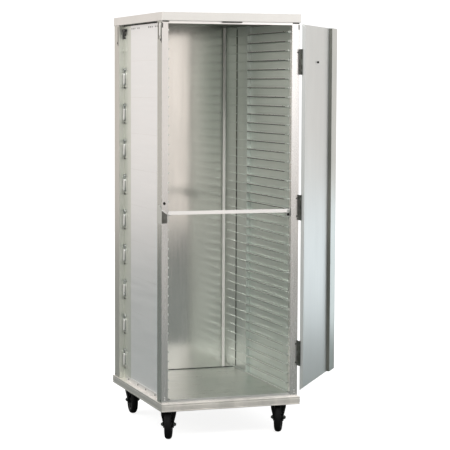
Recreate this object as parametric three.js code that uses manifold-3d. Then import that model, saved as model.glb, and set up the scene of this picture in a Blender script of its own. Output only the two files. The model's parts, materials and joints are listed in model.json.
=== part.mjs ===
// Enclosed proofing cabinet on casters: ribbed side planks, framed door shown standing open,
// swing-up retaining bar. Millimetres, +Z up, front towards -Y, hinge side towards +X.
import * as THREE from 'three';
import Module from 'manifold-3d';
import { mergeVertices } from 'three/addons/utils/BufferGeometryUtils.js';

const wasm = await Module();
wasm.setup();

// ---- driving sizes ----
const GAP = 0.3;                 // clearance kept between neighbouring pieces
const BASE_W = 597;              // bumper frame, outside width
const BASE_D = 740;              // bumper frame, outside depth
const BASE_Z0 = 119.5;           // underside of the bumper frame
const BASE_Z1 = 151;             // top of the bumper frame
const CAP_X = 295.8;             // half width of the top cap
const CAP_Y0 = -361;             // front of the top cap
const CAP_Y1 = 357;              // back of the top cap
const CAP_Z0 = 1686;             // lower edge of the cap's rim
const CAP_Z1 = 1720.5;           // top of the cabinet
const BODY_X = 293.5;            // outer faces of the corner posts
const FRONT_Y = -350;            // front face of the corner posts
const BODY_Y1 = 354;             // back face of the rear uprights
const BODY_Z0 = BASE_Z1 + GAP;   // feet of posts and uprights
const BODY_Z1 = 1717;            // heads of posts and uprights, inside the cap
const DOORWAY_X0 = -266.5;       // clear doorway, latch side
const DOORWAY_X1 = 260.5;        // clear doorway, hinge side
const FLOOR_Z = 165;             // top of the inside floor
const HEADER_Z = 1675.5;         // underside of the header rail

const WALL_IN = 270;             // inner face of the side planks
const WALL_OUT = 273;            // outer face of the side planks
const LEDGE_TIP = 254;           // inner edge of the tray ledges
const LEDGE_H = 7.2;
const LEDGE_PITCH = 38.1;
const PLANK_COUNT = 10;          // planks per side
const PLANK_PITCH = 4 * LEDGE_PITCH;
const PLANK_Z0 = 160.3;
const PLANK_Y0 = -322;
const PLANK_Y1 = 167;

const DOOR_Z0 = 176;
const DOOR_Z1 = 1680;
const DOOR_X0 = -287;            // free edge, door closed
const DOOR_X1 = 290.6;           // hinge edge, door closed
const DOOR_SKIN_Y = -367;        // outer face of the door skin, door closed
const STILE_W = 94;
const HINGE = [296.2, -366.5];   // door axis, seen from above
const DOOR_OPEN = 234.3;         // degrees the door stands open
const HINGE_ZS = [330.2, 932.8, 1527.4];
const HINGE_H = 104;

const BAR_Z = 920.6;             // centre height of the retaining bar
const BAR_H = 14.5;
const BAR_PIVOT_X = 251;

const WHEEL_R = 60;
const CASTER_X = 240;
const CASTER_Y = 286;
const CASTER_TRAIL = 38;
const CASTERS = [
  ['fl', -1, -1, 22], ['fr', 1, -1, 27], ['rl', -1, 1, 4], ['rr', 1, 1, 14],
];

const OPEN_CENTRE = [174.8, -4.7];  // middle of the footprint with the door standing open

// ---- finishes ----
const FINISHES = {
  bright_aluminium: [0xd9d9d6, 0.32, 0.9],
  satin_aluminium: [0xb9bcb4, 0.45, 0.85],
  plank_aluminium: [0xe2e2e0, 0.4, 0.8],
  door_aluminium: [0xc3c8c8, 0.45, 0.8],
  steel: [0x8e908c, 0.4, 0.9],
  dark_steel: [0x4a4b49, 0.55, 0.8],
  black: [0x141414, 0.5, 0.2],
};

const parts = new THREE.Group();
parts.name = 'proofing_cabinet';

function mesh(name, geometry, finish) {
  const [color, roughness, metalness] = FINISHES[finish];
  const piece = new THREE.Mesh(
    geometry,
    new THREE.MeshStandardMaterial({ color, roughness, metalness }),
  );
  piece.name = name;
  return piece;
}

function add(name, geometry, finish, group = parts) {
  group.add(mesh(name, geometry, finish));
}

// ---- solid makers ----
function box(x0, x1, y0, y1, z0, z1) {
  const geometry = new THREE.BoxGeometry(x1 - x0, y1 - y0, z1 - z0);
  return geometry.translate((x0 + x1) / 2, (y0 + y1) / 2, (z0 + z1) / 2);
}

// The outline is turned anticlockwise first, so that ExtrudeGeometry also turns its holes.
function extruded(points, length, holes = []) {
  const outline = points.map(([u, v]) => new THREE.Vector2(u, v));
  if (THREE.ShapeUtils.isClockWise(outline)) {
    outline.reverse();
  }
  const shape = new THREE.Shape(outline);
  for (const hole of holes) {
    shape.holes.push(new THREE.Path(hole.map(([u, v]) => new THREE.Vector2(u, v))));
  }
  return new THREE.ExtrudeGeometry(shape, { depth: length, bevelEnabled: false });
}

// Outline in X, Y, pulled up along Z.
function prismZ(points, z0, z1, holes = []) {
  return extruded(points, z1 - z0, holes).translate(0, 0, z0);
}

// Outline in X, Z, pulled along Y.
function prismY(points, y0, y1) {
  return extruded(points, y1 - y0).rotateX(Math.PI / 2).translate(0, y1, 0);
}

// Outline in Y, Z, pulled along X.
function prismX(points, x0, x1) {
  const turn = new THREE.Matrix4().makeBasis(
    new THREE.Vector3(0, 1, 0),
    new THREE.Vector3(0, 0, 1),
    new THREE.Vector3(1, 0, 0),
  );
  return extruded(points, x1 - x0).applyMatrix4(turn).translate(x0, 0, 0);
}

function rodZ(radius, x, y, z0, z1, sides = 24) {
  const geometry = new THREE.CylinderGeometry(radius, radius, z1 - z0, sides);
  return geometry.rotateX(Math.PI / 2).translate(x, y, (z0 + z1) / 2);
}

function rodY(radius, x, z, y0, y1, sides = 24) {
  const geometry = new THREE.CylinderGeometry(radius, radius, y1 - y0, sides);
  return geometry.translate(x, (y0 + y1) / 2, z);
}

function rodX(radius, y, z, x0, x1, sides = 24) {
  const geometry = new THREE.CylinderGeometry(radius, radius, x1 - x0, sides);
  return geometry.rotateZ(Math.PI / 2).translate((x0 + x1) / 2, y, z);
}

function mirrored(points, side) {
  return points.map(([x, y]) => [x * side, y]);
}

// ---- cuts and joins ----
function solid(geometry) {
  const plain = geometry.clone();
  plain.deleteAttribute('normal');
  plain.deleteAttribute('uv');
  const merged = mergeVertices(plain, 1e-4);
  return new wasm.Manifold(new wasm.Mesh({
    numProp: 3,
    vertProperties: new Float32Array(merged.attributes.position.array),
    triVerts: new Uint32Array(merged.index.array),
  }));
}

function toGeometry(manifold) {
  const data = manifold.getMesh();
  const geometry = new THREE.BufferGeometry();
  geometry.setAttribute('position', new THREE.BufferAttribute(data.vertProperties, 3));
  geometry.setIndex(new THREE.BufferAttribute(data.triVerts, 1));
  const flat = geometry.toNonIndexed();
  flat.computeVertexNormals();
  return flat;
}

function joined(geometries) {
  return toGeometry(geometries.map(solid).reduce((sum, next) => sum.add(next)));
}

function cut(geometry, cutters) {
  return toGeometry(cutters.map(solid).reduce((rest, tool) => rest.subtract(tool), solid(geometry)));
}

// ---- base: bumper frame with its deck, inside floor, threshold ----
// Bands of the bumper: height where each one ends, and how far its face is set back.
const BUMPER_BANDS = [[124, 0], [127, 1.5], [143, 0], [145.5, 1], [BASE_Z1, 0]];

function baseFrame() {
  const bands = BUMPER_BANDS.map(([top, inset], k) => {
    const [w, d] = [BASE_W / 2 - inset, BASE_D / 2 - inset];
    return box(-w, w, -d, d, k === 0 ? BASE_Z0 : BUMPER_BANDS[k - 1][0], top);
  });
  const [w, d] = [BASE_W / 2 - 5, BASE_D / 2 - 5];
  return cut(joined(bands), [box(-w, w, -d, d, BASE_Z0 - 5, BASE_Z1 - 3.5)]);
}

function floorPan() {
  const [x, y0, y1] = [LEDGE_TIP - 0.7, -348.2, 339.5];
  const tray = box(-x, x, y0, y1, BODY_Z0, FLOOR_Z);
  return cut(tray, [box(2.5 - x, x - 2.5, y0 + 2.5, y1 - 2.5, BODY_Z0 - 1, FLOOR_Z - 2.5)]);
}

add('base_frame', baseFrame(), 'satin_aluminium');
add('floor_pan', floorPan(), 'satin_aluminium');
add('threshold', box(DOORWAY_X0 + GAP, DOORWAY_X1 - GAP, FRONT_Y - 1, FRONT_Y + 1.5,
  BODY_Z0, FLOOR_Z + 0.4), 'satin_aluminium');

// ---- corner posts: boxed front edge with a side flange running back ----
function frontPost(inner, side) {
  const y0 = FRONT_Y;
  const outline = [
    [inner, y0], [BODY_X, y0], [BODY_X, y0 + 59], [BODY_X - 3, y0 + 59],
    [BODY_X - 3, y0 + 24], [inner, y0 + 24],
  ];
  const hollow = [
    [inner + 2.5, y0 + 2.5], [BODY_X - 3, y0 + 2.5], [BODY_X - 3, y0 + 21.5], [inner + 2.5, y0 + 21.5],
  ];
  return prismZ(mirrored(outline, side), BODY_Z0, BODY_Z1, [mirrored(hollow, side)]);
}

add('post_front_left', frontPost(-DOORWAY_X0, -1), 'bright_aluminium');
add('post_front_right', frontPost(DOORWAY_X1, 1), 'bright_aluminium');

// ---- rear uprights: flat band, boxed corner rib, inside stop lip, one cleat per plank ----
function rearUpright(side) {
  const [inner, skin, rib] = [268, 271, 281];
  const outline = [
    [LEDGE_TIP, 168], [skin, 168], [skin, rib], [BODY_X, rib], [BODY_X, BODY_Y1],
    [240, BODY_Y1], [240, BODY_Y1 - 3], [inner, BODY_Y1 - 3], [inner, 171], [LEDGE_TIP, 171],
  ];
  const hollow = [
    [skin, rib + 3], [BODY_X - 3, rib + 3], [BODY_X - 3, BODY_Y1 - 3], [skin, BODY_Y1 - 3],
  ];
  const pieces = [prismZ(mirrored(outline, side), BODY_Z0, BODY_Z1, [mirrored(hollow, side)])];
  const cleat = [
    [skin - 1, 230], [skin + 2.4, 230], [skin + 2.4, rib - 2.4], [skin + 11, rib - 2.4],
    [skin + 11, rib + 1], [skin - 1, rib + 1],
  ];
  for (let k = 0; k < PLANK_COUNT; k += 1) {
    const z = PLANK_Z0 + (k + 0.5) * PLANK_PITCH;
    pieces.push(prismZ(mirrored(cleat, side), z - 35, z + 35));
  }
  return joined(pieces);
}

add('upright_rear_left', rearUpright(-1), 'satin_aluminium');
add('upright_rear_right', rearUpright(1), 'satin_aluminium');

// ---- side planks, four tray ledges on each ----
function plank(side, index) {
  const z0 = PLANK_Z0 + index * PLANK_PITCH;
  const outline = [[WALL_OUT, z0], [WALL_OUT, z0 + PLANK_PITCH - GAP], [WALL_IN, z0 + PLANK_PITCH - GAP]];
  for (let j = 3; j >= 0; j -= 1) {
    const under = z0 + 0.7 + j * LEDGE_PITCH;
    const top = under + LEDGE_H;
    outline.push([WALL_IN, top], [LEDGE_TIP, top], [LEDGE_TIP, under + 1.5]);
    outline.push([LEDGE_TIP + 2, under], [WALL_IN, under]);
  }
  outline.push([WALL_IN, z0]);
  return prismY(mirrored(outline, side), PLANK_Y0, PLANK_Y1);
}

for (const [label, side] of [['left', -1], ['right', 1]]) {
  for (let k = 0; k < PLANK_COUNT; k += 1) {
    add(`plank_${label}_${String(k + 1).padStart(2, '0')}`, plank(side, k), 'plank_aluminium');
  }
  const [x0, x1] = [WALL_OUT + GAP, WALL_OUT + GAP + 3].map((x) => x * side).sort((a, b) => a - b);
  add(`sill_${label}`, box(x0, x1, FRONT_Y + 59 + GAP, 229.5, BODY_Z0, 169), 'bright_aluminium');
}

// ---- back, ceiling, header, cap ----
add('back_panel', box(-267.5, 267.5, 340, 343, BODY_Z0, 1688.4), 'satin_aluminium');

// The ceiling is notched round the stop lips of the rear uprights.
const ceilingHalf = [
  [267.5, -325.7], [267.5, 168 - GAP], [LEDGE_TIP - GAP, 168 - GAP],
  [LEDGE_TIP - GAP, 171 + GAP], [267.5, 171 + GAP], [267.5, 339.5],
];
const ceiling = [...ceilingHalf, ...mirrored(ceilingHalf, -1).reverse()];
add('ceiling_sheet', prismZ(ceiling, 1689, 1691), 'satin_aluminium');

add('header_rail', box(DOORWAY_X0 + GAP, DOORWAY_X1 - GAP, FRONT_Y - 1, FRONT_Y + 24,
  HEADER_Z, BODY_Z1), 'bright_aluminium');

const capShell = box(-CAP_X, CAP_X, CAP_Y0, CAP_Y1, CAP_Z0, CAP_Z1);
const capRoom = box(2 - CAP_X, CAP_X - 2, CAP_Y0 + 2, CAP_Y1 - 2, CAP_Z0 - 5, CAP_Z1 - 2);
add('top_cap', cut(capShell, [capRoom]), 'bright_aluminium');
add('top_catch', box(-40, 40, -365.2, FRONT_Y - 1 - GAP, DOOR_Z1 + 1.2, CAP_Z0 - 0.6), 'dark_steel');

// ---- door, built closed about its hinge axis and then swung open ----
const door = new THREE.Group();
door.name = 'door';
door.position.set(HINGE[0], HINGE[1], 0);
door.rotation.z = THREE.MathUtils.degToRad(DOOR_OPEN);
parts.add(door);

function addToDoor(name, geometry, finish) {
  add(name, geometry.translate(-HINGE[0], -HINGE[1], 0), finish, door);
}

function doorSkin() {
  const [y, inner, rim] = [DOOR_SKIN_Y, DOOR_SKIN_Y + 1.5, DOOR_SKIN_Y + 14.8];
  const outline = [
    [DOOR_X0, y], [DOOR_X1, y], [DOOR_X1, rim], [DOOR_X1 - 1.5, rim],
    [DOOR_X1 - 1.5, inner], [DOOR_X0, inner],
  ];
  const [lo, hi] = [DOOR_Z0 - 1, DOOR_Z1 + 1];
  const corners = [
    prismX([[inner, lo], [rim + 1, lo], [rim + 1, lo + 15.3]], DOOR_X1 - 2, DOOR_X1 + 1),
    prismX([[inner, hi], [rim + 1, hi], [rim + 1, hi - 15.3]], DOOR_X1 - 2, DOOR_X1 + 1),
  ];
  return cut(prismZ(outline, DOOR_Z0, DOOR_Z1), corners);
}

addToDoor('door_skin', doorSkin(), 'door_aluminium');
addToDoor('door_stile', box(DOOR_X0, DOOR_X0 + STILE_W, DOOR_SKIN_Y + 1.8, DOOR_SKIN_Y + 14.8,
  DOOR_Z0, DOOR_Z1), 'door_aluminium');

// Turn latch on the outside of the free edge.
addToDoor('latch_case', joined([
  box(-264, -220, DOOR_SKIN_Y - 4, DOOR_SKIN_Y - GAP, 855, 965),
  rodY(13, -242, 925, DOOR_SKIN_Y - 9, DOOR_SKIN_Y - 3),
]), 'steel');
addToDoor('latch_lever', joined([
  rodY(11, -242, 925, DOOR_SKIN_Y - 19, DOOR_SKIN_Y - 9.3),
  prismY([[-251, 925], [-249, 838], [-245, 834], [-239, 834], [-235, 838], [-233, 925]],
    DOOR_SKIN_Y - 18, DOOR_SKIN_Y - 12),
]), 'steel');

// ---- hinges: a frame leaf on the post's side carries the pin, a leaf on the door's face turns on it ----
const KNUCKLE_R = 3.5;
const KNUCKLE = HINGE_H / 5;
const LEAF = 1.6;                // thickness of the frame leaf
const LEAF_START = 3.9;          // it begins this far behind the pin

function frameLeaf(zMid) {
  const [x, y] = HINGE;
  const z0 = zMid - HINGE_H / 2;
  const [inn, out] = [BODY_X + GAP, BODY_X + GAP + LEAF];
  const pieces = [box(inn, out, y + LEAF_START, FRONT_Y + 28, z0, z0 + HINGE_H)];
  pieces.push(rodZ(1.6, x, y, z0 + 1, z0 + HINGE_H - 1, 16));
  for (const k of [0, 2, 4]) {
    const [low, high] = [z0 + k * KNUCKLE, z0 + (k + 1) * KNUCKLE];
    pieces.push(rodZ(KNUCKLE_R, x, y, low, high, 20));
    pieces.push(box(inn, out, y, y + LEAF_START + 1, low, high));
  }
  return joined(pieces);
}

function doorLeaf(zMid) {
  const [x, y] = HINGE;
  const z0 = zMid - HINGE_H / 2;
  const [outer, inner] = [DOOR_SKIN_Y - 1.6, DOOR_SKIN_Y - GAP];
  const pieces = [box(262, DOOR_X1, outer, inner, z0, z0 + HINGE_H)];
  for (const k of [1, 3]) {
    const [low, high] = [z0 + k * KNUCKLE + 0.4, z0 + (k + 1) * KNUCKLE - 0.4];
    pieces.push(box(DOOR_X1 - 1, x, outer, inner, low, high));
    pieces.push(rodZ(KNUCKLE_R, x, y, low, high, 20));
  }
  return cut(joined(pieces), [rodZ(1.95, x, y, z0 - 1, z0 + HINGE_H + 1, 16)]);
}

HINGE_ZS.forEach((zMid, k) => {
  add(`hinge_frame_leaf_${k + 1}`, frameLeaf(zMid), 'steel');
  addToDoor(`hinge_door_leaf_${k + 1}`, doorLeaf(zMid), 'steel');
});

// ---- strike on the latch-side post ----
const strikeFront = prismY([[-295, 880], [-270, 880], [-270, 914], [-291.5, 930], [-295, 930]],
  FRONT_Y - 1.9, FRONT_Y - GAP);
const strikeSide = prismX([[-351.9, 876.5], [-294.7, 876.5], [-294.7, 947], [-330, 953], [-351.9, 932]],
  -295.9, -293.8);
add('strike_bracket', joined([strikeFront, strikeSide]), 'steel');

// ---- retaining bar across the doorway, its pivot bracket and its rest ----
function retainingBar() {
  const [x0, x1, r] = [-264.2, BAR_PIVOT_X, BAR_H / 2];
  const outline = [[x0, BAR_Z - r], [x1, BAR_Z - r]];
  for (let k = 1; k < 12; k += 1) {
    const a = -Math.PI / 2 + (k * Math.PI) / 12;
    outline.push([x1 + r * Math.cos(a), BAR_Z + r * Math.sin(a)]);
  }
  outline.push([x1, BAR_Z + r], [x0, BAR_Z + r]);
  return cut(prismY(outline, -346, -338), [rodY(3.4, x1, BAR_Z, -350, -335, 20)]);
}

add('retaining_bar', retainingBar(), 'bright_aluminium');
add('bar_pivot_bracket', joined([
  box(241, DOORWAY_X1 - GAP, -337.6, -335.2, 896, 931),
  rodY(3, BAR_PIVOT_X, BAR_Z, -347.5, -336, 20),
  rodY(5.2, BAR_PIVOT_X, BAR_Z, -349.4, -346.4, 20),
]), 'steel');
add('bar_rest', joined([
  box(-266.2, -264.6, -347, -337, 900, 930),
  box(-266.2, -254, -347, -337, 910.6, 913),
]), 'steel');

// ---- swivel casters ----
function casterPlate(x, y) {
  return joined([
    box(x - 40, x + 40, y - 50, y + 50, 143.2, 147.3),
    rodZ(29, x, y, 133, 144, 32),
  ]);
}

// Fork and wheel are drawn with the axle along X and the trail towards -Y.
function casterFork() {
  const front = [
    [-27, 132.7], [-27, 114], [-21.5, 80], [-21.5, 45], [-18.6, 45], [-18.6, 80],
    [-23.5, 114], [-23.5, 129.4], [23.5, 129.4], [23.5, 114], [18.6, 80], [18.6, 45],
    [21.5, 45], [21.5, 80], [27, 114], [27, 132.7],
  ];
  const profile = [
    [27, 132.7], [29, 124], [8, 110], [-24, 51], [-34, 45], [-44, 46], [-51, 54],
    [-52, 66], [-50, 100], [-44, 113], [-42, 129], [-38, 132.7],
  ];
  const shell = solid(prismY(front, -60, 35)).intersect(solid(prismX(profile, -35, 35)));
  const axle = [
    rodX(5, -CASTER_TRAIL, WHEEL_R, -31, 31, 16),
    rodX(8, -CASTER_TRAIL, WHEEL_R, -27, -21, 6),
    rodX(8, -CASTER_TRAIL, WHEEL_R, 21, 27, 6),
  ];
  return toGeometry(axle.map(solid).reduce((sum, next) => sum.add(next), shell));
}

function casterWheel() {
  const profile = [
    [5.4, -17.4], [15, -17.4], [17, -12], [41, -10], [44, -14], [53.5, -14.5], [57.5, -12],
    [WHEEL_R, -7], [WHEEL_R, 7], [57.5, 12], [53.5, 14.5], [44, 14], [41, 10], [17, 12],
    [15, 17.4], [5.4, 17.4], [5.4, -17.4],
  ];
  const points = profile.map(([r, h]) => new THREE.Vector2(r, h));
  const lathe = new THREE.LatheGeometry(points, 40);
  return lathe.rotateZ(Math.PI / 2).translate(0, -CASTER_TRAIL, WHEEL_R);
}

for (const [label, sx, sy, angle] of CASTERS) {
  const [x, y] = [sx * CASTER_X, sy * CASTER_Y];
  add(`caster_plate_${label}`, casterPlate(x, y), 'steel');
  const swivel = new THREE.Group();
  swivel.name = `swivel_${label}`;
  swivel.position.set(x, y, 0);
  swivel.rotation.z = -THREE.MathUtils.degToRad(angle);
  add(`caster_fork_${label}`, casterFork(), 'black', swivel);
  add(`caster_wheel_${label}`, casterWheel(), 'black', swivel);
  parts.add(swivel);
}

parts.position.set(-OPEN_CENTRE[0], -OPEN_CENTRE[1], 0);
parts.updateMatrixWorld(true);

export default parts;
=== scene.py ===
"""Looks of the proofing cabinet: materials, rivets, screws, ribs, casters, light and camera."""
import json
import math

import bmesh
import bpy
from mathutils import Matrix, Vector


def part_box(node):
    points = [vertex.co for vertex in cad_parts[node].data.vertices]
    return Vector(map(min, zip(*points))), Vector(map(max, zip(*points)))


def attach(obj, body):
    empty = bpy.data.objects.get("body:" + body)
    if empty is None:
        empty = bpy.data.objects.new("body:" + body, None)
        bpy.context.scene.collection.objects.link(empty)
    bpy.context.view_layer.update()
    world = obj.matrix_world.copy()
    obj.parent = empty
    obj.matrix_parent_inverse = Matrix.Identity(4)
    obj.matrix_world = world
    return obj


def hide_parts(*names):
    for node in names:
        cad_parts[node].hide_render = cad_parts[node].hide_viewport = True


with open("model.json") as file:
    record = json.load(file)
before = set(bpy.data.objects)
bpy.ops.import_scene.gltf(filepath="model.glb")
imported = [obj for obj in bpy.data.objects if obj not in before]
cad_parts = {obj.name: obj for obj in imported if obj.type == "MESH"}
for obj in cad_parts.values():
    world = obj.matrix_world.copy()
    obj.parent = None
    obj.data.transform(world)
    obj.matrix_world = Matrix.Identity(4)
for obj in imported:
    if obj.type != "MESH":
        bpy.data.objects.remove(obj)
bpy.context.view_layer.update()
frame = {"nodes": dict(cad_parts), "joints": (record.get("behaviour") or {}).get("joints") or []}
nodes = frame["nodes"]
joints = {j["name"]: j for j in frame["joints"]}
CORNERS = ("fl", "fr", "rl", "rr")

base_lo, base_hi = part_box("base_frame")
CENTRE = (base_lo + base_hi) / 2

# ---- measures, in millimetres from the middle of the cabinet, on the ground ----
LEDGE_PITCH = 38.1
LEDGE_Z0 = 161                   # underside of the lowest tray ledge
LEDGE_COUNT = 40
PLANK_PITCH = 4 * LEDGE_PITCH
PLANK_Z0 = 160.3
PLANK_Y = (-290, 166)            # front and rear ends of what rides on the planks
PLANK_FACE = 273                 # outer face of the planks
CLEAT_FACE = 273.4               # outer face of the cleats on the rear bands
CLEAT_Y = 262
POST_FACE = 293.5                # outer side face of the corner posts
POST_FRONT = -350                # front face of the corner posts
BACK_FACE = 339.9                # inner face of the back panel
CAP_Z = 1681.2                   # a little under the top cap
DOOR_INSIDE = -365.5             # inner face of the door sheet, door closed


def at(x, y, z):
    """Point in metres from millimetres measured from the middle of the cabinet, on the ground."""
    return Vector((CENTRE.x + x / 1000, CENTRE.y + y / 1000, z / 1000))


# ---- door axes, taken from its joints ----
DOOR_OUT = Vector(joints["latch_turn"]["axis"]).normalized()
DOOR_ALONG = Vector((-DOOR_OUT.y, DOOR_OUT.x, 0))
HINGE = Vector(joints["door_hinge"]["pos_m"])


def on_door(x, y, z):
    """Point on the open door from the place it has, in millimetres, when the door is closed."""
    along = x / 1000 + CENTRE.x - HINGE.x
    out = HINGE.y - (y / 1000 + CENTRE.y)
    return Vector((HINGE.x, HINGE.y, z / 1000)) + DOOR_ALONG * along + DOOR_OUT * out


# ---- materials ----
class Recipe:
    """A node material under construction."""

    def __init__(self, name):
        self.mat = bpy.data.materials.new(name)
        self.mat.use_nodes = True
        self.tree = self.mat.node_tree
        self.shader = self.tree.nodes["Principled BSDF"]
        self.coords = self.tree.nodes.new("ShaderNodeTexCoord").outputs["Object"]

    def link(self, source, target):
        self.tree.links.new(source, target)

    def noise(self, stretch, scale, detail=4.0, rough=0.55, turn=(0, 0, 0)):
        mapping = self.tree.nodes.new("ShaderNodeMapping")
        mapping.inputs["Scale"].default_value = stretch
        mapping.inputs["Rotation"].default_value = turn
        self.link(self.coords, mapping.inputs["Vector"])
        tex = self.tree.nodes.new("ShaderNodeTexNoise")
        tex.inputs["Scale"].default_value = scale
        tex.inputs["Detail"].default_value = detail
        tex.inputs["Roughness"].default_value = rough
        self.link(mapping.outputs["Vector"], tex.inputs["Vector"])
        return tex.outputs["Fac"]

    def along(self, axis):
        """Object coordinate along one axis."""
        split = self.tree.nodes.new("ShaderNodeSeparateXYZ")
        self.link(self.coords, split.inputs["Vector"])
        return split.outputs[axis]

    def past(self, axis, distance):
        """1 on faces further from the cabinet's middle along an axis than a distance in metres."""
        off = self.tree.nodes.new("ShaderNodeMath")
        off.operation = "SUBTRACT"
        off.inputs[1].default_value = CENTRE["XYZ".index(axis)]
        self.link(self.along(axis), off.inputs[0])
        size = self.tree.nodes.new("ShaderNodeMath")
        size.operation = "ABSOLUTE"
        self.link(off.outputs["Value"], size.inputs[0])
        return self.spread(size.outputs["Value"], distance - 0.0003, distance + 0.0003, 0, 1)

    def round_axis(self, centre, radius):
        """1 within a radius in metres of an upright axis."""
        shift = self.tree.nodes.new("ShaderNodeVectorMath")
        shift.operation = "SUBTRACT"
        shift.inputs[1].default_value = (centre[0], centre[1], 0)
        self.link(self.coords, shift.inputs[0])
        flat = self.tree.nodes.new("ShaderNodeVectorMath")
        flat.operation = "MULTIPLY"
        flat.inputs[1].default_value = (1, 1, 0)
        self.link(shift.outputs["Vector"], flat.inputs[0])
        size = self.tree.nodes.new("ShaderNodeVectorMath")
        size.operation = "LENGTH"
        self.link(flat.outputs["Vector"], size.inputs[0])
        return self.spread(size.outputs["Value"], radius, radius + 0.0004, 1, 0)

    def spread(self, value, low, high, to_low, to_high, smooth=False):
        node = self.tree.nodes.new("ShaderNodeMapRange")
        node.interpolation_type = "SMOOTHSTEP" if smooth else "LINEAR"
        for socket, number in zip(node.inputs[1:5], (low, high, to_low, to_high)):
            socket.default_value = number
        self.link(value, node.inputs["Value"])
        return node.outputs["Result"]

    def mix(self, factor, first, second, kind="MIX"):
        node = self.tree.nodes.new("ShaderNodeMix")
        node.data_type = "RGBA"
        node.blend_type = kind
        for socket, value in ((node.inputs["Factor"], factor), (node.inputs["A"], first),
                              (node.inputs["B"], second)):
            if isinstance(value, bpy.types.NodeSocket):
                self.link(value, socket)
            elif isinstance(value, tuple):
                socket.default_value = (*value, 1)
            else:
                socket.default_value = value
        return node.outputs["Result"]

    def bump(self, height, strength, distance=0.001):
        node = self.tree.nodes.new("ShaderNodeBump")
        node.inputs["Strength"].default_value = strength
        node.inputs["Distance"].default_value = distance
        self.link(height, node.inputs["Height"])
        earlier = self.shader.inputs["Normal"].links
        if earlier:
            self.link(earlier[0].from_socket, node.inputs["Normal"])
        self.link(node.outputs["Normal"], self.shader.inputs["Normal"])


def metal(name, light, dark, rough, grain=(1, 1, 40), spread=0.05, metallic=1.0, grain_bump=0.02,
          blotch=5.0, wave=0.0, streak=0.03, painted_face_shading=(), pin=None,
          painted_dark_reflection=None):
    """Sheet or drawn metal: grain stretched one way, broad stains, fine scratches, slow waves.
    painted_face_shading holds (axis, distance from the cabinet's middle, tone of the faces further out than
    that): painted light and shade, the outer faces made lighter or darker for how light falls on them.
    pin is (centre, radius, tone) of an upright pin that has its own tone.
    painted_dark_reflection is (tone, X span, Z span): a painted dark reflection that grows towards the
    upper right."""
    r = Recipe(name)
    fine = r.noise(grain, 60, 5, 0.65)
    broad = r.noise((1, 1, 0.6), blotch, 3, 0.5)
    scratch = r.noise((grain[0] * 3, grain[1] * 3, grain[2] * 3), 14, 8, 0.75)
    tone = r.mix(r.spread(broad, 0.32, 0.68, 0, 1, True), dark, light)
    lines = r.spread(fine, 0.25, 0.75, 1 - streak, 1 + streak)
    tone = r.mix(1.0, tone, lines, "MULTIPLY")
    # Painted light and shade: faces further out take their own lighter or darker tone.
    for axis, distance, painted_face_tone in painted_face_shading:
        tone = r.mix(r.past(axis, distance), tone, r.mix(1.0, painted_face_tone, lines, "MULTIPLY"))
    # Painted reflection: the surface darkens towards the upper right, standing for a dark reflection.
    if painted_dark_reflection:
        reflection_tone, xs, zs = painted_dark_reflection
        across = r.spread(r.along("X"), CENTRE.x + xs[0], CENTRE.x + xs[1], 0, 1, True)
        upward = r.spread(r.along("Z"), zs[0], zs[1], 0, 1, True)
        both = r.tree.nodes.new("ShaderNodeMath")
        both.operation = "MULTIPLY"
        r.link(across, both.inputs[0])
        r.link(upward, both.inputs[1])
        tone = r.mix(both.outputs["Value"], tone, reflection_tone)
    if pin:
        centre, radius, own = pin
        tone = r.mix(r.round_axis(centre, radius), tone, own)
    r.link(tone, r.shader.inputs["Base Color"])
    r.shader.inputs["Metallic"].default_value = metallic
    rough_now = r.spread(scratch, 0.3, 0.7, rough - spread, rough + spread)
    r.link(rough_now, r.shader.inputs["Roughness"])
    r.bump(fine, grain_bump, 0.0004)
    if wave:
        r.bump(r.noise((1, 1, 0.5), 3.2, 1, 0.4), wave, 0.02)
    return r.mat


def black_paint(name, colour, rough):
    r = Recipe(name)
    peel = r.noise((1, 1, 1), 240, 3, 0.6)
    dust = r.noise((1, 1, 1), 26, 5, 0.6)
    tone = r.mix(r.spread(dust, 0.5, 0.8, 0, 0.5), colour, tuple(c * 2.6 + 0.004 for c in colour))
    r.link(tone, r.shader.inputs["Base Color"])
    r.link(r.spread(dust, 0.3, 0.7, rough - 0.1, rough + 0.14), r.shader.inputs["Roughness"])
    r.shader.inputs["Specular IOR Level"].default_value = 0.15
    r.bump(peel, 0.12, 0.0004)
    return r.mat


def rubber(name):
    r = Recipe(name)
    grit = r.noise((1, 1, 1), 420, 4, 0.7)
    dust = r.noise((1, 1, 1), 34, 5, 0.65)
    tone = r.mix(r.spread(dust, 0.42, 0.75, 0, 0.55), (0.004, 0.004, 0.0045), (0.014, 0.0135, 0.013))
    r.link(tone, r.shader.inputs["Base Color"])
    r.link(r.spread(grit, 0.3, 0.7, 0.5, 0.75), r.shader.inputs["Roughness"])
    r.shader.inputs["Specular IOR Level"].default_value = 0.12
    r.bump(grit, 0.2, 0.0005)
    return r.mat


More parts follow.
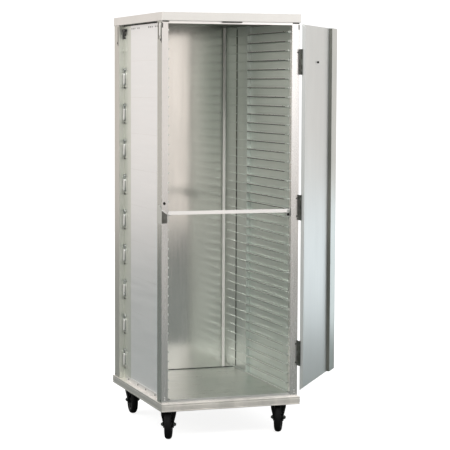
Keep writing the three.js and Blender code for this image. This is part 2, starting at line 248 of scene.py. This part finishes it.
MATS = {
    # Painted light and shade: the face tones below make the outer faces of planks, posts, header, uprights,
    # base and strike lighter or darker, standing for how light falls on them.
    "plank": metal("plank_metal", (0.77, 0.82, 0.785), (0.73, 0.78, 0.745), 0.36, (1, 0.05, 1),
                   metallic=0.85, streak=0.015, grain_bump=0.01, painted_face_shading=[("X", 0.2722, (0.88, 0.89, 0.9))]),
    "post": metal("post_metal", (0.84, 0.83, 0.82), (0.79, 0.785, 0.78), 0.26, (1, 1, 0.04),
                  painted_face_shading=[("X", 0.293, (0.47, 0.485, 0.455))]),
    # header: the dark tone is painted shade at the top of the doorway; the front face is painted lighter.
    "header": metal("header_metal_painted_shade", (0.3, 0.29, 0.27), (0.26, 0.25, 0.23), 0.3, (0.05, 1, 1),
                    painted_face_shading=[("Y", 0.338, (0.92, 0.91, 0.9))]),
    "upright": metal("upright_metal", (0.7, 0.75, 0.72), (0.66, 0.71, 0.68), 0.36, (1, 1, 0.05),
                     streak=0.015, metallic=0.9,
                     painted_face_shading=[("X", 0.2702, (0.71, 0.73, 0.68)), ("X", 0.293, (0.56, 0.555, 0.515))]),
    # back: a painted dark reflection towards the upper right.
    "back": metal("back_metal", (0.86, 0.85, 0.815), (0.78, 0.775, 0.745), 0.13, (1, 1, 0.05),
                  metallic=0.97, wave=0.03, streak=0.012,
                  painted_dark_reflection=((0.44, 0.475, 0.44), (0.03, 0.17), (0.55, 1.45))),
    "satin": metal("satin_metal", (0.72, 0.74, 0.71), (0.62, 0.65, 0.62), 0.3, (0.06, 1, 1),
                   wave=0.02, streak=0.02),
    # ceiling: its dark tone is painted shade.
    "shade": metal("ceiling_painted_shade", (0.3, 0.29, 0.27), (0.25, 0.24, 0.22), 0.4, (0.06, 1, 1)),
    "cap": metal("cap_metal", (0.78, 0.77, 0.75), (0.75, 0.745, 0.725), 0.42, (1, 1, 1), streak=0.01),
    "base": metal("base_metal", (0.97, 0.93, 0.88), (0.78, 0.755, 0.715), 0.36, (0.3, 0.3, 1.2),
                  metallic=0.8, blotch=16, grain_bump=0.06, streak=0.06,
                  painted_face_shading=[("X", 0.2968, (0.6, 0.59, 0.56))]),
    "sill": metal("sill_metal", (0.84, 0.84, 0.83), (0.72, 0.72, 0.71), 0.32, (1, 0.05, 1)),
    "door": metal("door_metal", (0.73, 0.765, 0.77), (0.7, 0.735, 0.74), 0.42, (1, 1, 0.05),
                  streak=0.012, grain_bump=0.01),
    "stile": metal("stile_metal", (0.6, 0.64, 0.63), (0.54, 0.58, 0.565), 0.34, (1, 1, 0.04)),
    "bar": metal("bar_metal", (1.0, 0.99, 0.98), (0.97, 0.965, 0.96), 0.2, (0.05, 1, 1), metallic=0.5),
    "zinc": metal("zinc_metal", (0.42, 0.44, 0.42), (0.26, 0.28, 0.27), 0.38, (1, 1, 1), blotch=60),
    "hinge": metal("hinge_metal", (0.16, 0.175, 0.16), (0.05, 0.055, 0.05), 0.42, (1, 1, 1), blotch=70),
    "dark": metal("dark_metal", (0.1, 0.1, 0.098), (0.05, 0.05, 0.05), 0.45, (1, 1, 1), blotch=90),
    "bright": metal("bright_metal", (0.95, 0.95, 0.94), (0.85, 0.85, 0.84), 0.3, (1, 1, 1),
                    blotch=80, metallic=0.7),
    # strike: the dark front is painted shade; the side faces are painted lighter.
    "strike": metal("strike_metal", (0.2, 0.2, 0.185), (0.13, 0.13, 0.12), 0.45, (1, 1, 1), blotch=90,
                    painted_face_shading=[("X", 0.2937, (0.64, 0.65, 0.62))]),
    "leaf": metal("leaf_metal", (0.6, 0.62, 0.58), (0.45, 0.47, 0.43), 0.38, (1, 1, 1), blotch=70,
                  pin=(HINGE, 0.0042, (0.08, 0.085, 0.075))),
    "strip": metal("strip_metal", (0.98, 0.965, 0.93), (0.93, 0.92, 0.89), 0.42, (1, 1, 0.05),
                   metallic=0.25),
    # stile_shade: a dark tone painted as the shade on the stile's inner side.
    "stile_shade": metal("stile_shade_metal", (0.22, 0.225, 0.205), (0.17, 0.175, 0.16), 0.45, (1, 1, 0.05)),
    # seal_and_shadow: black for the dark screws and the door stud, and painted shadow under the cap and in
    # the post-head slots.
    "seal_and_shadow": black_paint("shadow_seal", (0.02, 0.02, 0.019), 0.7),
    "paint": black_paint("caster_paint", (0.003, 0.003, 0.003), 0.45),
    "rubber": rubber("tread_rubber"),
}

NODE_MATS = (
    ("plank_", "plank"), ("post_", "post"), ("upright_", "upright"), ("back_", "back"),
    ("floor_pan", "satin"), ("threshold", "sill"), ("ceiling", "shade"), ("header", "header"),
    ("top_cap", "cap"), ("top_catch", "dark"), ("base_frame", "base"), ("sill_", "sill"),
    ("door_skin", "door"), ("door_stile", "stile"), ("latch_", "zinc"), ("hinge_door", "leaf"),
    ("hinge_", "hinge"), ("strike", "strike"), ("retaining_bar", "bar"), ("bar_", "zinc"),
    ("caster_plate", "zinc"), ("caster_fork", "paint"), ("caster_wheel", "rubber"),
)
BEVELS = {"base_frame": 0.0012, "top_cap": 0.0012, "retaining_bar": 0.0032, "door_stile": 0.0008}

for name, obj in nodes.items():
    key = next(mat for start, mat in NODE_MATS if name.startswith(start))
    obj.data.materials.clear()
    obj.data.materials.append(MATS[key])
    weld = obj.modifiers.new("weld", "WELD")
    weld.merge_threshold = 0.00001
    flat = obj.modifiers.new("flat", "DECIMATE")
    flat.decimate_type = "DISSOLVE"
    flat.angle_limit = math.radians(0.5)
    bevel = obj.modifiers.new("bevel", "BEVEL")
    bevel.width = BEVELS.get(name, 0.0004)
    bevel.segments = 5 if name == "retaining_bar" else 2
    bevel.limit_method = "ANGLE"
    bevel.angle_limit = math.radians(40)


# ---- mesh makers ----
def finish_mesh(name, bm, mat, body, smooth=35.0, bevel=0.0):
    bmesh.ops.recalc_face_normals(bm, faces=bm.faces)
    mesh = bpy.data.meshes.new(name)
    bm.to_mesh(mesh)
    bm.free()
    obj = bpy.data.objects.new(name, mesh)
    bpy.context.scene.collection.objects.link(obj)
    mesh.materials.append(MATS[mat])
    for face in mesh.polygons:
        face.use_smooth = True
    mesh.set_sharp_from_angle(angle=math.radians(smooth))
    if bevel:
        mod = obj.modifiers.new("bevel", "BEVEL")
        mod.width = bevel
        mod.segments = 2
        mod.limit_method = "ANGLE"
        mod.angle_limit = math.radians(35)
    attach(obj, body)
    return obj


def turned(bm, profile, place, sides=24):
    """Lathe: profile of (radius, height) in millimetres about the Z axis of the placing matrix."""
    rings = []
    for radius, height in profile:
        if radius <= 0:
            rings.append([bm.verts.new(place @ Vector((0, 0, height / 1000)))])
            continue
        ring = []
        for k in range(sides):
            a = 2 * math.pi * k / sides
            spot = Vector((radius * math.cos(a), radius * math.sin(a), height)) / 1000
            ring.append(bm.verts.new(place @ spot))
        rings.append(ring)
    for low, high in zip(rings, rings[1:]):
        for k in range(sides):
            quad = [low[k % len(low)], low[(k + 1) % len(low)],
                    high[(k + 1) % len(high)], high[k % len(high)]]
            corners = list(dict.fromkeys(quad))
            if len(corners) > 2:
                bm.faces.new(corners)


def slab(bm, outline, thick, place):
    """Flat plate with its outline in the XY plane of the placing matrix, in millimetres."""
    low = [bm.verts.new(place @ (Vector((x, y, 0)) / 1000)) for x, y in outline]
    high = [bm.verts.new(place @ (Vector((x, y, thick)) / 1000)) for x, y in outline]
    bm.faces.new(low[::-1])
    bm.faces.new(high)
    for k in range(len(outline)):
        n = (k + 1) % len(outline)
        bm.faces.new((low[k], low[n], high[n], high[k]))


def facing(point, out, up=Vector((0, 0, 1))):
    """Matrix at a point, with its Z axis out of the surface."""
    z = Vector(out).normalized()
    x = Vector(up).cross(z)
    if x.length < 1e-6:
        x = Vector((1, 0, 0))
    x.normalize()
    y = z.cross(x)
    m = Matrix((x, y, z)).transposed().to_4x4()
    m.translation = point
    return m


def rounded(width, height, radius, steps=4):
    """Rounded rectangle about the origin."""
    points = []
    for sx, sy, start in ((1, 1, 0), (-1, 1, 90), (-1, -1, 180), (1, -1, 270)):
        for k in range(steps + 1):
            a = math.radians(start + 90 * k / steps)
            points.append((sx * (width / 2 - radius) + radius * math.cos(a),
                           sy * (height / 2 - radius) + radius * math.sin(a)))
    return points


def rivet(bm, point, out, radius=2.6, rise=1.2):
    profile = ((radius, -0.4), (radius, 0.15), (radius * 0.8, rise * 0.75), (radius * 0.4, rise), (0, rise))
    turned(bm, profile, facing(point, out), 14)


def screw(bm, point, out, radius=4.0, rise=2.0):
    """Pan head with a round recess."""
    profile = ((radius, -0.4), (radius, rise * 0.35), (radius * 0.85, rise * 0.8),
               (radius * 0.55, rise), (radius * 0.3, rise), (radius * 0.2, rise * 0.45), (0, rise * 0.4))
    turned(bm, profile, facing(point, out), 16)


# ---- fasteners on the cabinet ----
def fasteners(name, mat, slot, body, spots, make, **sizes):
    bm = bmesh.new()
    for point, out in spots:
        make(bm, point, out, **sizes)
    return finish_mesh(name, bm, mat, body)


def side_spots(x, ys, zs):
    """The same points on both outer sides of the cabinet."""
    return [(at(side * x, y, z), (side, 0, 0)) for side in (-1, 1) for y in ys for z in zs]


SILL_FACE = 276.3
SILL_YS = (-254, -205, -70, 49, 190)
fasteners("sill_screws", "dark", "dark_steel", "cabinet", side_spots(SILL_FACE, SILL_YS, (160,)),
          screw, radius=3.6, rise=1.8)
fasteners("foot_screws", "dark", "dark_steel", "cabinet",
          side_spots(POST_FACE, (-335, 340), (161,)), screw, radius=3.2, rise=1.6)
fasteners("front_foot_rivets", "bright", "zinc_steel", "cabinet",
          [(at(side * 280, POST_FRONT, z), (0, -1, 0)) for side in (-1, 1) for z in (166, 176)],
          rivet, radius=2.4)

# The top plank's cleat carries a hook instead of a ring, a rib and a rivet.
CLEAT_ZS = [PLANK_Z0 + PLANK_PITCH * (k + 0.5) for k in range(9)]
fasteners("cleat_rivets_low", "dark", "dark_steel", "cabinet",
          side_spots(CLEAT_FACE, (CLEAT_Y,), [z - 36 for z in CLEAT_ZS]), rivet, radius=5.5, rise=2.4)


def eyelet(bm, point, out, radius=9.5):
    """Raised ring round a small hole."""
    profile = ((radius - 4.6, -0.3), (radius - 4.6, 2.4), (radius - 3.4, 4.2), (radius - 1.2, 4.2),
               (radius, 2.4), (radius, -0.3), (radius - 4.6, -0.3))
    turned(bm, profile, facing(point, out), 20)


def pill(bm, point, out, width, height, thick=2.0):
    """Flat oval plate."""
    slab(bm, rounded(width, height, width / 2 - 0.1, 6), thick, facing(point, out))


rib_zs = [z + 1 for z in CLEAT_ZS]
fasteners("cleat_eyelets", "zinc", "dark_steel", "cabinet",
          side_spots(CLEAT_FACE, (CLEAT_Y,), [z + 39 for z in CLEAT_ZS]), eyelet)
fasteners("cleat_shadows", "zinc", "zinc_steel", "cabinet",
          side_spots(CLEAT_FACE - 0.2, (CLEAT_Y,), rib_zs), pill, width=26, height=62)
fasteners("cleat_ribs", "bright", "bar_aluminium", "cabinet",
          side_spots(CLEAT_FACE + 1.8, (CLEAT_Y,), rib_zs), pill, width=15, height=52, thick=5)

# A hook hangs at the head of each rear upright.
bm = bmesh.new()
for side in (-1, 1):
    out = (side, 0, 0)
    slab(bm, rounded(34, 12, 4), 7, facing(at(side * CLEAT_FACE, 258, 1664), out))
    slab(bm, rounded(7, 36, 3), 5, facing(at(side * CLEAT_FACE, 270, 1648), out))
    slab(bm, rounded(7, 26, 3), 5, facing(at(side * CLEAT_FACE, 247, 1652), out))
    slab(bm, rounded(26, 8, 3.5), 5, facing(at(side * CLEAT_FACE, 260, 1632), out))
finish_mesh("head_hooks", bm, "dark", "cabinet", bevel=0.0008)

# Rivets inside at the front ends of the ledges, rivets under the cap, screws in the posts.
rivet_zs = [PLANK_Z0 + LEDGE_PITCH * (k + 0.5) for k in range(LEDGE_COUNT)]
fasteners("ledge_end_rivets", "bright", "post_aluminium", "cabinet",
          [(at(side * 270, -316, z), (-side, 0, 0)) for side in (-1, 1) for z in rivet_zs],
          rivet, radius=2.2, rise=1.0)
PANEL_TOP_YS = (150, 128, 104, 60, 40, -100, -124, -150, -195, -218)
fasteners("panel_top_rivets", "dark", "dark_steel", "cabinet",
          side_spots(PLANK_FACE, PANEL_TOP_YS, (1668,)), rivet, radius=3.4, rise=1.2)
fasteners("post_top_screws", "dark", "dark_steel", "cabinet",
          side_spots(POST_FACE, (-337, 300), (1611,)), screw, radius=5.5, rise=2.0)
fasteners("hinge_side_screws", "dark", "dark_steel", "cabinet",
          [(at(286, POST_FRONT, z), (0, -1, 0)) for z in (1566, 970, 897, 368, 291)],
          screw, radius=3.6, rise=1.2)
fasteners("strike_screws", "seal_and_shadow", "dark_steel", "cabinet",
          [(at(-282, POST_FRONT, 960), (0, -1, 0)), (at(253, -337.7, 904.6), (0, -1, 0))],
          screw, radius=5.8, rise=1.6)


def strip_along(bm, side, xs, ys, z, height):
    """Upright strip on one side of the cabinet: a span in X counted outwards, a span in Y."""
    lo_x, hi_x = sorted((side * xs[0], side * xs[1]))
    outline = [(lo_x, ys[0]), (hi_x, ys[0]), (hi_x, ys[1]), (lo_x, ys[1])]
    slab(bm, outline, height, Matrix.Translation(at(0, 0, z)))


# The ledges go on behind each inside stop lip, on the rear uprights.
bm = bmesh.new()
for side in (-1, 1):
    for k in range(LEDGE_COUNT):
        strip_along(bm, side, (263, 268), (171.2, 338), LEDGE_Z0 + LEDGE_PITCH * k, 3.0)
finish_mesh("rear_wall_ribs", bm, "upright", "cabinet", bevel=0.0004)

# Painted light on the edges of the tray ledges: a bright strip as painted highlight over a dark strip as
# painted shadow, the shadow taller on the upper ledges.
LEDGE_INSIDE = 254.4
ledge_highlight_mesh, ledge_shadow_mesh = bmesh.new(), bmesh.new()
for side in (-1, 1):
    for k in range(LEDGE_COUNT):
        z = LEDGE_Z0 + LEDGE_PITCH * k
        shadow_height = 1.2 if k < LEDGE_COUNT / 2 else 2.8
        strip_along(ledge_highlight_mesh, side, (253.4, LEDGE_INSIDE), (-291, 166), z + 4.6, 2.4)
        strip_along(ledge_shadow_mesh, side, (253.7, LEDGE_INSIDE), (-291, 166), z + 4.4 - shadow_height, shadow_height)
finish_mesh("ledge_painted_highlights", ledge_highlight_mesh, "bright", "cabinet")
finish_mesh("ledge_painted_shadows", ledge_shadow_mesh, "dark", "cabinet")

# Thin gaskets: dark joints along the back edge of the floor and in the back corners.
bm = bmesh.new()
slab(bm, [(-253, 334.5), (253, 334.5), (253, 339.4), (-253, 339.4)], 2.5, Matrix.Translation(at(0, 0, 165)))
for side in (-1, 1):
    strip_along(bm, side, (266, 267.8), (337.5, 339.6), 168, 1510)
finish_mesh("back_joint_seals", bm, "hinge", "cabinet")

# Flat cover strips on the back panel, over its two stiffeners.
bm = bmesh.new()
for side in (-1, 1):
    strip_along(bm, side, (201.5, 214.5), (338.3, BACK_FACE), 168, 1518)
finish_mesh("back_cover_strips", bm, "strip", "cabinet", bevel=0.0005)

# Seam beads between the outer planks.
bm = bmesh.new()
for side in (-1, 1):
    for k in range(1, 10):
        z = PLANK_Z0 + PLANK_PITCH * k
        strip_along(bm, side, (PLANK_FACE - 0.2, PLANK_FACE + 0.15), (-290, 166.5), z - 0.6, 0.9)
finish_mesh("plank_seams", bm, "sill", "cabinet")

# Painted shadow: dark strips under the cap, over the planks, the bands and the posts, stand for the
# shadowed gaps there.
bm = bmesh.new()
for side in (-1, 1):
    strip_along(bm, side, (273.1, 274.3), PLANK_Y, CAP_Z, 4.6)
    strip_along(bm, side, (271.1, 272.3), (168, 280), CAP_Z, 4.6)
    strip_along(bm, side, (263, 291), (POST_FRONT - 1.4, POST_FRONT - 0.1), CAP_Z + 0.2, 4.4)
finish_mesh("cap_gap_shadows", bm, "seal_and_shadow", "cabinet")

# Folded bright lip along the slanted top of the strike.
bm = bmesh.new()
place = facing(at(-280.8, -351.0, 922.6), (0.6, 0, 0.8), Vector((0, 1, 0)))
slab(bm, rounded(29, 1.7, 0.5, 2), 2.8, place)
finish_mesh("strike_lip", bm, "bright", "cabinet", bevel=0.0003)

# Folded tabs at the heads of the corner posts, and thin dark plates over their open slots as painted shade
# for the openings.
bm = bmesh.new()
for side in (-1, 1):
    slab(bm, rounded(14, 52, 5), 1.6, facing(at(side * POST_FACE, -325, 1652), (side, 0, 0)))
finish_mesh("post_head_tabs", bm, "bright", "cabinet", bevel=0.0004)
bm = bmesh.new()
for side in (-1, 1):
    for width, height, y, z in ((5, 84, -345, 1640), (5, 70, -308, 1648), (6, 80, 296, 1640)):
        place = facing(at(side * POST_FACE, y, z), (side, 0, 0))
        slab(bm, rounded(width, height, 2), 0.5, place)
    slab(bm, rounded(4, 20, 1.5), 0.5, facing(at(side * 290, POST_FRONT, 1668), (0, -1, 0)))
finish_mesh("post_head_slot_shadows", bm, "seal_and_shadow", "cabinet")


# ---- casters ----
def caster_frame(corner):
    """Matrix with X along the axle, Y against the trail and Z up, at the swivel axis on the ground."""
    axle = Vector(joints[f"wheel_spin_{corner}"]["axis"]).normalized()
    back = Vector((0, 0, 1)).cross(axle)
    m = Matrix((axle, back, Vector((0, 0, 1)))).transposed().to_4x4()
    spot = joints[f"caster_swivel_{corner}"]["pos_m"]
    m.translation = (spot[0], spot[1], 0)
    return m


def axle_frame(corner):
    """Matrix with Z along the axle, at the middle of the wheel."""
    m = caster_frame(corner)
    turn = Matrix.Rotation(math.radians(90), 4, "Y")
    place = m @ turn
    place.translation = joints[f"wheel_spin_{corner}"]["pos_m"]
    return place


WHEEL_R = (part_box("caster_wheel_fl")[1].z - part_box("caster_wheel_fl")[0].z) * 500
TREAD = (
    (-13.6, WHEEL_R - 14), (-14.3, WHEEL_R - 11), (-13.4, WHEEL_R - 7), (-10.8, WHEEL_R - 3.2),
    (-7, WHEEL_R - 1), (-3, WHEEL_R), (3, WHEEL_R), (7, WHEEL_R - 1), (10.8, WHEEL_R - 3.2),
    (13.4, WHEEL_R - 7), (14.3, WHEEL_R - 11), (13.6, WHEEL_R - 14),
)
CORE = (
    (-17.2, 5.4), (-17.2, 12), (-16.4, 14), (-12.5, 16), (-9, 19), (-8.6, 36), (-10.5, 40),
    (-13.2, 42), (-13.2, WHEEL_R - 13.2), (13.2, WHEEL_R - 13.2), (13.2, 42), (10.5, 40),
    (8.6, 36), (9, 19), (12.5, 16), (16.4, 14), (17.2, 12), (17.2, 5.4),
)
RACEWAY = ((24, 128.2), (27, 129.5), (28.6, 131.5), (28.6, 133.4), (27.4, 134), (0, 134))
WASHER = ((11, -0.9), (11, 0.6), (10, 0.9), (0, 0.9))
AXLE_END = ((5, -4), (5, 3.2), (4.2, 4), (0, 4))
BOLT_HEAD = ((0, 139.4), (6.2, 139.6), (7, 141), (7, 143.4))
SKIRT = ((16.8, 70), (16.8, 118.4), (30.5, 118.4), (29.6, 100), (22.5, 70))


def shifted(x, y, z):
    """Translation in millimetres."""
    return Matrix.Translation((x / 1000, y / 1000, z / 1000))


def ring(profile, place):
    """Closed ring turned from an outline of (height, radius)."""
    bm = bmesh.new()
    turned(bm, [(r, h) for h, r in (*profile, profile[0])], place, 72)
    bmesh.ops.remove_doubles(bm, verts=bm.verts, dist=1e-6)
    return bm


def wheel_core(place):
    bm = ring(CORE, place)
    for k in range(6):
        for side in (-1, 1):
            spoke = place @ Matrix.Rotation(2 * math.pi * k / 6, 4, "Z") @ shifted(27.5, 0, side * 9.8)
            slab(bm, rounded(19, 4.5, 1.2, 2), 2.6, spoke @ shifted(0, 0, -1.3))
    return bm


def axle_nuts(place):
    bm = bmesh.new()
    hexagon = []
    for k in range(6):
        a = math.radians(60 * k + 12)
        hexagon.append((8.6 * math.cos(a), 8.6 * math.sin(a)))
    for side in (-1, 1):
        slab(bm, hexagon, 6.2, place @ shifted(0, 0, side * 24.4 - 3.1))
        turned(bm, WASHER, place @ shifted(0, 0, side * 21.5), 24)
        outward = Matrix.Rotation(0 if side > 0 else math.pi, 4, "X")
        turned(bm, AXLE_END, place @ shifted(0, 0, side * 27) @ outward, 20)
    return bm


def fork_skirts(top):
    """Folded sides of the fork, wide under the swivel and narrow towards the axle."""
    bm = bmesh.new()
    place = top @ shifted(0, -16, 0) @ Matrix.Rotation(math.radians(90), 4, "X")
    for side in (-1, 1):
        slab(bm, [(side * x, z) for x, z in SKIRT], 36, place)
    return bm


def plate_bolts(centre):
    bm = bmesh.new()
    for sx in (-30, 30):
        for sy in (-39, 39):
            turned(bm, BOLT_HEAD, Matrix.Translation((centre.x, centre.y, 0)) @ shifted(sx, sy, 0), 6)
    return bm


for corner in CORNERS:
    wheel_body, fork_body = f"caster_wheel_{corner}", f"caster_fork_{corner}"
    place, top = axle_frame(corner), caster_frame(corner)
    tread = finish_mesh(f"tread_{corner}", ring(TREAD, place), "rubber", wheel_body)
    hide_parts(wheel_body)
    finish_mesh(f"wheel_core_{corner}", wheel_core(place), "paint", wheel_body, bevel=0.0004)
    finish_mesh(f"axle_nuts_{corner}", axle_nuts(place), "hinge", fork_body, bevel=0.0005)
    bm = bmesh.new()
    turned(bm, RACEWAY, top, 48)
    finish_mesh(f"raceway_{corner}", bm, "hinge", fork_body)
    finish_mesh(f"fork_skirts_{corner}", fork_skirts(top), "paint", fork_body, bevel=0.0006)
    finish_mesh(f"plate_bolts_{corner}", plate_bolts(top.translation), "hinge", "cabinet",
                smooth=20)

# ---- fasteners on the door ----
door_in = -DOOR_OUT
bm = bmesh.new()
stud_profile = ((4.6, -0.4), (4.6, 5.5), (3.8, 6.3), (0, 6.3))
turned(bm, stud_profile, facing(on_door(25, DOOR_INSIDE, 1530), door_in), 20)
finish_mesh("door_stud", bm, "seal_and_shadow", "door")
bm = bmesh.new()
for k in range(17):
    rivet(bm, on_door(-200, -352.2, 200 + 91.2 * k), door_in, radius=2.2, rise=0.9)
finish_mesh("stile_rivets", bm, "stile", "door")


def door_box(bm, x0, x1, y0, y1, z0, z1):
    """Block on the door, in the millimetres of the closed door."""
    corners = ((x0, y0), (x1, y0), (x1, y1), (x0, y1))
    low = [bm.verts.new(on_door(x, y, z0)) for x, y in corners]
    high = [bm.verts.new(on_door(x, y, z1)) for x, y in corners]
    bm.faces.new(low)
    bm.faces.new(high)
    for k in range(4):
        n = (k + 1) % 4
        bm.faces.new((low[k], low[n], high[n], high[k]))


# Painted shade: a thin dark strip along the inner edge of the stile stands for the shade on that face.
bm = bmesh.new()
door_box(bm, -192.7, -190.4, -365.2, -352.6, 178, 1678)
finish_mesh("stile_painted_shade", bm, "stile_shade", "door", bevel=0.0004)

# ---- camera ----
camera_data = bpy.data.cameras.new("camera")
camera = bpy.data.objects.new("camera", camera_data)
bpy.context.scene.collection.objects.link(camera)
camera_data.sensor_width = 36
camera_data.lens = 134.88
camera_data.clip_end = 60
yaw, pitch, roll = 0.3338, -0.0828, 0.0042
ahead = Vector((math.sin(yaw) * math.cos(pitch), math.cos(yaw) * math.cos(pitch), math.sin(pitch)))
level = Vector((math.cos(yaw), -math.sin(yaw), 0))
above = level.cross(ahead)
rightward = level * math.cos(roll) + above * math.sin(roll)
upward = above * math.cos(roll) - level * math.sin(roll)
camera.matrix_world = Matrix((rightward, upward, -ahead)).transposed().to_4x4()
camera.location = at(-2252.8, -6773.4, 1432.3)
bpy.context.scene.camera = camera

# ---- light, floor and surroundings ----
scene = bpy.context.scene
scene.view_settings.view_transform = "Standard"
scene.view_settings.look = "None"
scene.cycles.max_bounces = 10
scene.cycles.glossy_bounces = 8
scene.cycles.sample_clamp_indirect = 6

world = bpy.data.worlds.new("studio")
scene.world = world
world.use_nodes = True
wt = world.node_tree
background = wt.nodes["Background"]
sky = wt.nodes.new("ShaderNodeTexCoord")
split = wt.nodes.new("ShaderNodeSeparateXYZ")
wt.links.new(sky.outputs["Generated"], split.inputs["Vector"])
ramp = wt.nodes.new("ShaderNodeValToRGB")
wt.links.new(split.outputs["Z"], ramp.inputs["Fac"])
stops = ramp.color_ramp.elements
stops[0].position, stops[0].color = 0.0, (0.92, 0.85, 0.80, 1)
stops[1].position, stops[1].color = 0.9, (0.8, 0.82, 0.83, 1)
middle = stops.new(0.3)
middle.color = (0.9, 0.87, 0.84, 1)
rays = wt.nodes.new("ShaderNodeLightPath")
pick = wt.nodes.new("ShaderNodeMix")
pick.data_type = "RGBA"
pick.inputs["B"].default_value = (1.15, 1.15, 1.15, 1)
wt.links.new(rays.outputs["Is Camera Ray"], pick.inputs["Factor"])
wt.links.new(ramp.outputs["Color"], pick.inputs["A"])
wt.links.new(pick.outputs["Result"], background.inputs["Color"])


def area_light(name, place, target, size, watts, colour=(1, 1, 1)):
    data = bpy.data.lights.new(name, "AREA")
    data.shape = "RECTANGLE"
    data.size, data.size_y = size
    data.energy = watts
    data.color = colour
    lamp = bpy.data.objects.new(name, data)
    scene.collection.objects.link(lamp)
    lamp.location = place
    lamp.rotation_euler = (Vector(target) - Vector(place)).to_track_quat("-Z", "Y").to_euler()
    return lamp


area_light("key", (-1.4, -4.4, 4.4), at(0, 0, 500), (1.8, 1.8), 125, (1, 0.98, 0.95))
area_light("fill", (2.4, -4.0, 2.2), at(100, 0, 900), (2.0, 2.4), 14, (0.95, 0.98, 1))
area_light("side", (-4.2, 0.6, 3.0), at(-200, 0, 1300), (2.0, 2.4), 45, (0.97, 0.99, 1))


def floor_paint():
    """Pale to the eye; a duller tone, darker towards the front, for what the metal mirrors."""
    mat = bpy.data.materials.new("floor_paint")
    mat.use_nodes = True
    tree = mat.node_tree
    pale = tree.nodes["Principled BSDF"]
    pale.inputs["Base Color"].default_value = (0.4, 0.4, 0.4, 1)
    pale.inputs["Roughness"].default_value = 0.9
    glow = tree.nodes.new("ShaderNodeEmission")
    glow.inputs["Strength"].default_value = 0.84
    bright = tree.nodes.new("ShaderNodeAddShader")
    tree.links.new(pale.outputs["BSDF"], bright.inputs[0])
    tree.links.new(glow.outputs["Emission"], bright.inputs[1])
    nearby = tree.nodes.new("ShaderNodeTexCoord")
    axes = tree.nodes.new("ShaderNodeSeparateXYZ")
    tree.links.new(nearby.outputs["Object"], axes.inputs["Vector"])
    shade = tree.nodes.new("ShaderNodeValToRGB")
    tree.links.new(axes.outputs["Y"], shade.inputs["Fac"])
    shade.color_ramp.elements[0].color = (0.19, 0.205, 0.198, 1)
    shade.color_ramp.elements[1].color = (0.26, 0.28, 0.27, 1)
    shade.color_ramp.elements[1].position = 0.35
    dull = tree.nodes.new("ShaderNodeBsdfDiffuse")
    tree.links.new(shade.outputs["Color"], dull.inputs["Color"])
    seen = tree.nodes.new("ShaderNodeLightPath")
    either = tree.nodes.new("ShaderNodeMixShader")
    tree.links.new(seen.outputs["Is Camera Ray"], either.inputs["Fac"])
    tree.links.new(dull.outputs["BSDF"], either.inputs[1])
    tree.links.new(bright.outputs["Shader"], either.inputs[2])
    tree.links.new(either.outputs["Shader"], tree.nodes["Material Output"].inputs["Surface"])
    return mat


bm = bmesh.new()
bmesh.ops.create_circle(bm, cap_ends=True, segments=96, radius=9.2)
floor_mesh = bpy.data.meshes.new("floor")
bm.to_mesh(floor_mesh)
bm.free()
floor = bpy.data.objects.new("floor", floor_mesh)
scene.collection.objects.link(floor)
floor_mesh.materials.append(floor_paint())

# A glowing card, out of the camera's sight, lights the inside of the open door.
CARD_HALF = 1.7
CARD_HEIGHT = 0.8
card_mesh = bpy.data.meshes.new("card")
card_corners = [(-CARD_HALF, 0, 0), (CARD_HALF, 0, 0)]
card_corners += [(CARD_HALF, 0, CARD_HEIGHT), (-CARD_HALF, 0, CARD_HEIGHT)]
card_mesh.from_pydata(card_corners, [], [(0, 1, 2, 3)])
card = bpy.data.objects.new("card", card_mesh)
scene.collection.objects.link(card)
card.location = (2.3, 1.7, 0)
card.rotation_euler = (0, 0, math.radians(-52))
card.visible_camera = False
card_mat = bpy.data.materials.new("card_paper")
card_mat.use_nodes = True
paper = card_mat.node_tree.nodes["Principled BSDF"]
paper.inputs["Base Color"].default_value = (0.5, 0.52, 0.53, 1)
paper.inputs["Emission Color"].default_value = (0.9, 0.96, 1, 1)
paper.inputs["Emission Strength"].default_value = 0.85
card_mesh.materials.append(card_mat)
